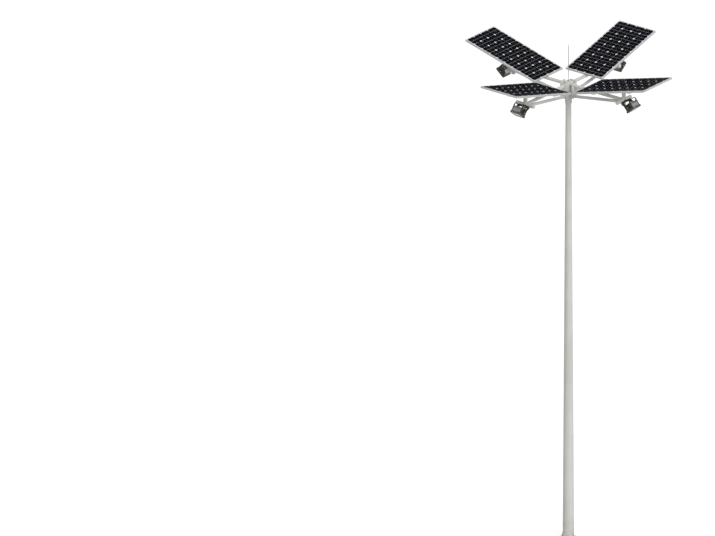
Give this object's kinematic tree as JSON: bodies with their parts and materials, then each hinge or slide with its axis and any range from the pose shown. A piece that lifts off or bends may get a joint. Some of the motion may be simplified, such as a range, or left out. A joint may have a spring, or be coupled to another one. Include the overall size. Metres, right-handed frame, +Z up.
{
  "type": "solar mast light",
  "caption": "Tall tapered mast light with radial brackets, tilted solar panels and tilting LED floodlights on crossbars",
  "frame": {"origin": "on the mast's axis, at the underside of the base plate", "axes": "+Z up along the mast, +X and +Y along two of the four brackets"},
  "size_m": [4.8744, 4.8744, 11.576],
  "materials": {
    "mast_paint": "satin powder coat over galvanised steel",
    "rod_steel": "dull zinc",
    "rack_zinc": "galvanised",
    "frame_aluminium": "anodised",
    "solar_cells": "cells under glass",
    "lamp_brown": "fine texture powder coat",
    "heat_sink_grey": "fine texture powder coat",
    "bezel_charcoal": "fine texture powder coat",
    "module_white": "clear cover over white board"
  },
  "bodies": {
    "mast": {"base_flange": "mast_paint", "mast_tube": "mast_paint", "hub": "mast_paint", "hub_cap": "mast_paint", "lightning_rod": "rod_steel", "upper_arm_1": "mast_paint", "upper_arm_2": "mast_paint", "upper_arm_3": "mast_paint", "upper_arm_4": "mast_paint", "brace_1": "mast_paint", "brace_2": "mast_paint", "brace_3": "mast_paint", "brace_4": "mast_paint", "arm_head_1": "mast_paint", "arm_head_2": "mast_paint", "arm_head_3": "mast_paint", "arm_head_4": "mast_paint", "panel_rack_1": "rack_zinc", "panel_rack_2": "rack_zinc", "panel_rack_3": "rack_zinc", "panel_rack_4": "rack_zinc", "panel_frame_1": "frame_aluminium", "panel_frame_2": "frame_aluminium", "panel_frame_3": "frame_aluminium", "panel_frame_4": "frame_aluminium", "panel_laminate_1": "solar_cells", "panel_laminate_2": "solar_cells", "panel_laminate_3": "solar_cells", "panel_laminate_4": "solar_cells", "stirrup_1": "lamp_brown", "stirrup_2": "lamp_brown", "stirrup_3": "lamp_brown", "stirrup_4": "lamp_brown"},
    "lamp_1": {"lamp_body_1": "heat_sink_grey", "lamp_sides_1": "lamp_brown", "lamp_bezel_1": "bezel_charcoal", "light_modules_1": "module_white"},
    "lamp_2": {"lamp_body_2": "heat_sink_grey", "lamp_sides_2": "lamp_brown", "lamp_bezel_2": "bezel_charcoal", "light_modules_2": "module_white"},
    "lamp_3": {"lamp_body_3": "heat_sink_grey", "lamp_sides_3": "lamp_brown", "lamp_bezel_3": "bezel_charcoal", "light_modules_3": "module_white"},
    "lamp_4": {"lamp_body_4": "heat_sink_grey", "lamp_sides_4": "lamp_brown", "lamp_bezel_4": "bezel_charcoal", "light_modules_4": "module_white"}
  },
  "joints": [
    {"name": "lamp_1_tilt", "type": "hinge", "parent": "mast", "child": "lamp_1", "pos_m": [1.73653, 0, 10.55213], "axis": [0, 1, 0], "range_deg": [-50, 40]},
    {"name": "lamp_2_tilt", "type": "hinge", "parent": "mast", "child": "lamp_2", "pos_m": [0, 1.73653, 10.55213], "axis": [-1, 0, 0], "range_deg": [-50, 40]},
    {"name": "lamp_3_tilt", "type": "hinge", "parent": "mast", "child": "lamp_3", "pos_m": [-1.73653, 0, 10.55213], "axis": [0, -1, 0], "range_deg": [-50, 40]},
    {"name": "lamp_4_tilt", "type": "hinge", "parent": "mast", "child": "lamp_4", "pos_m": [0, -1.73653, 10.55213], "axis": [1, 0, 0], "range_deg": [-50, 40]}
  ]
}
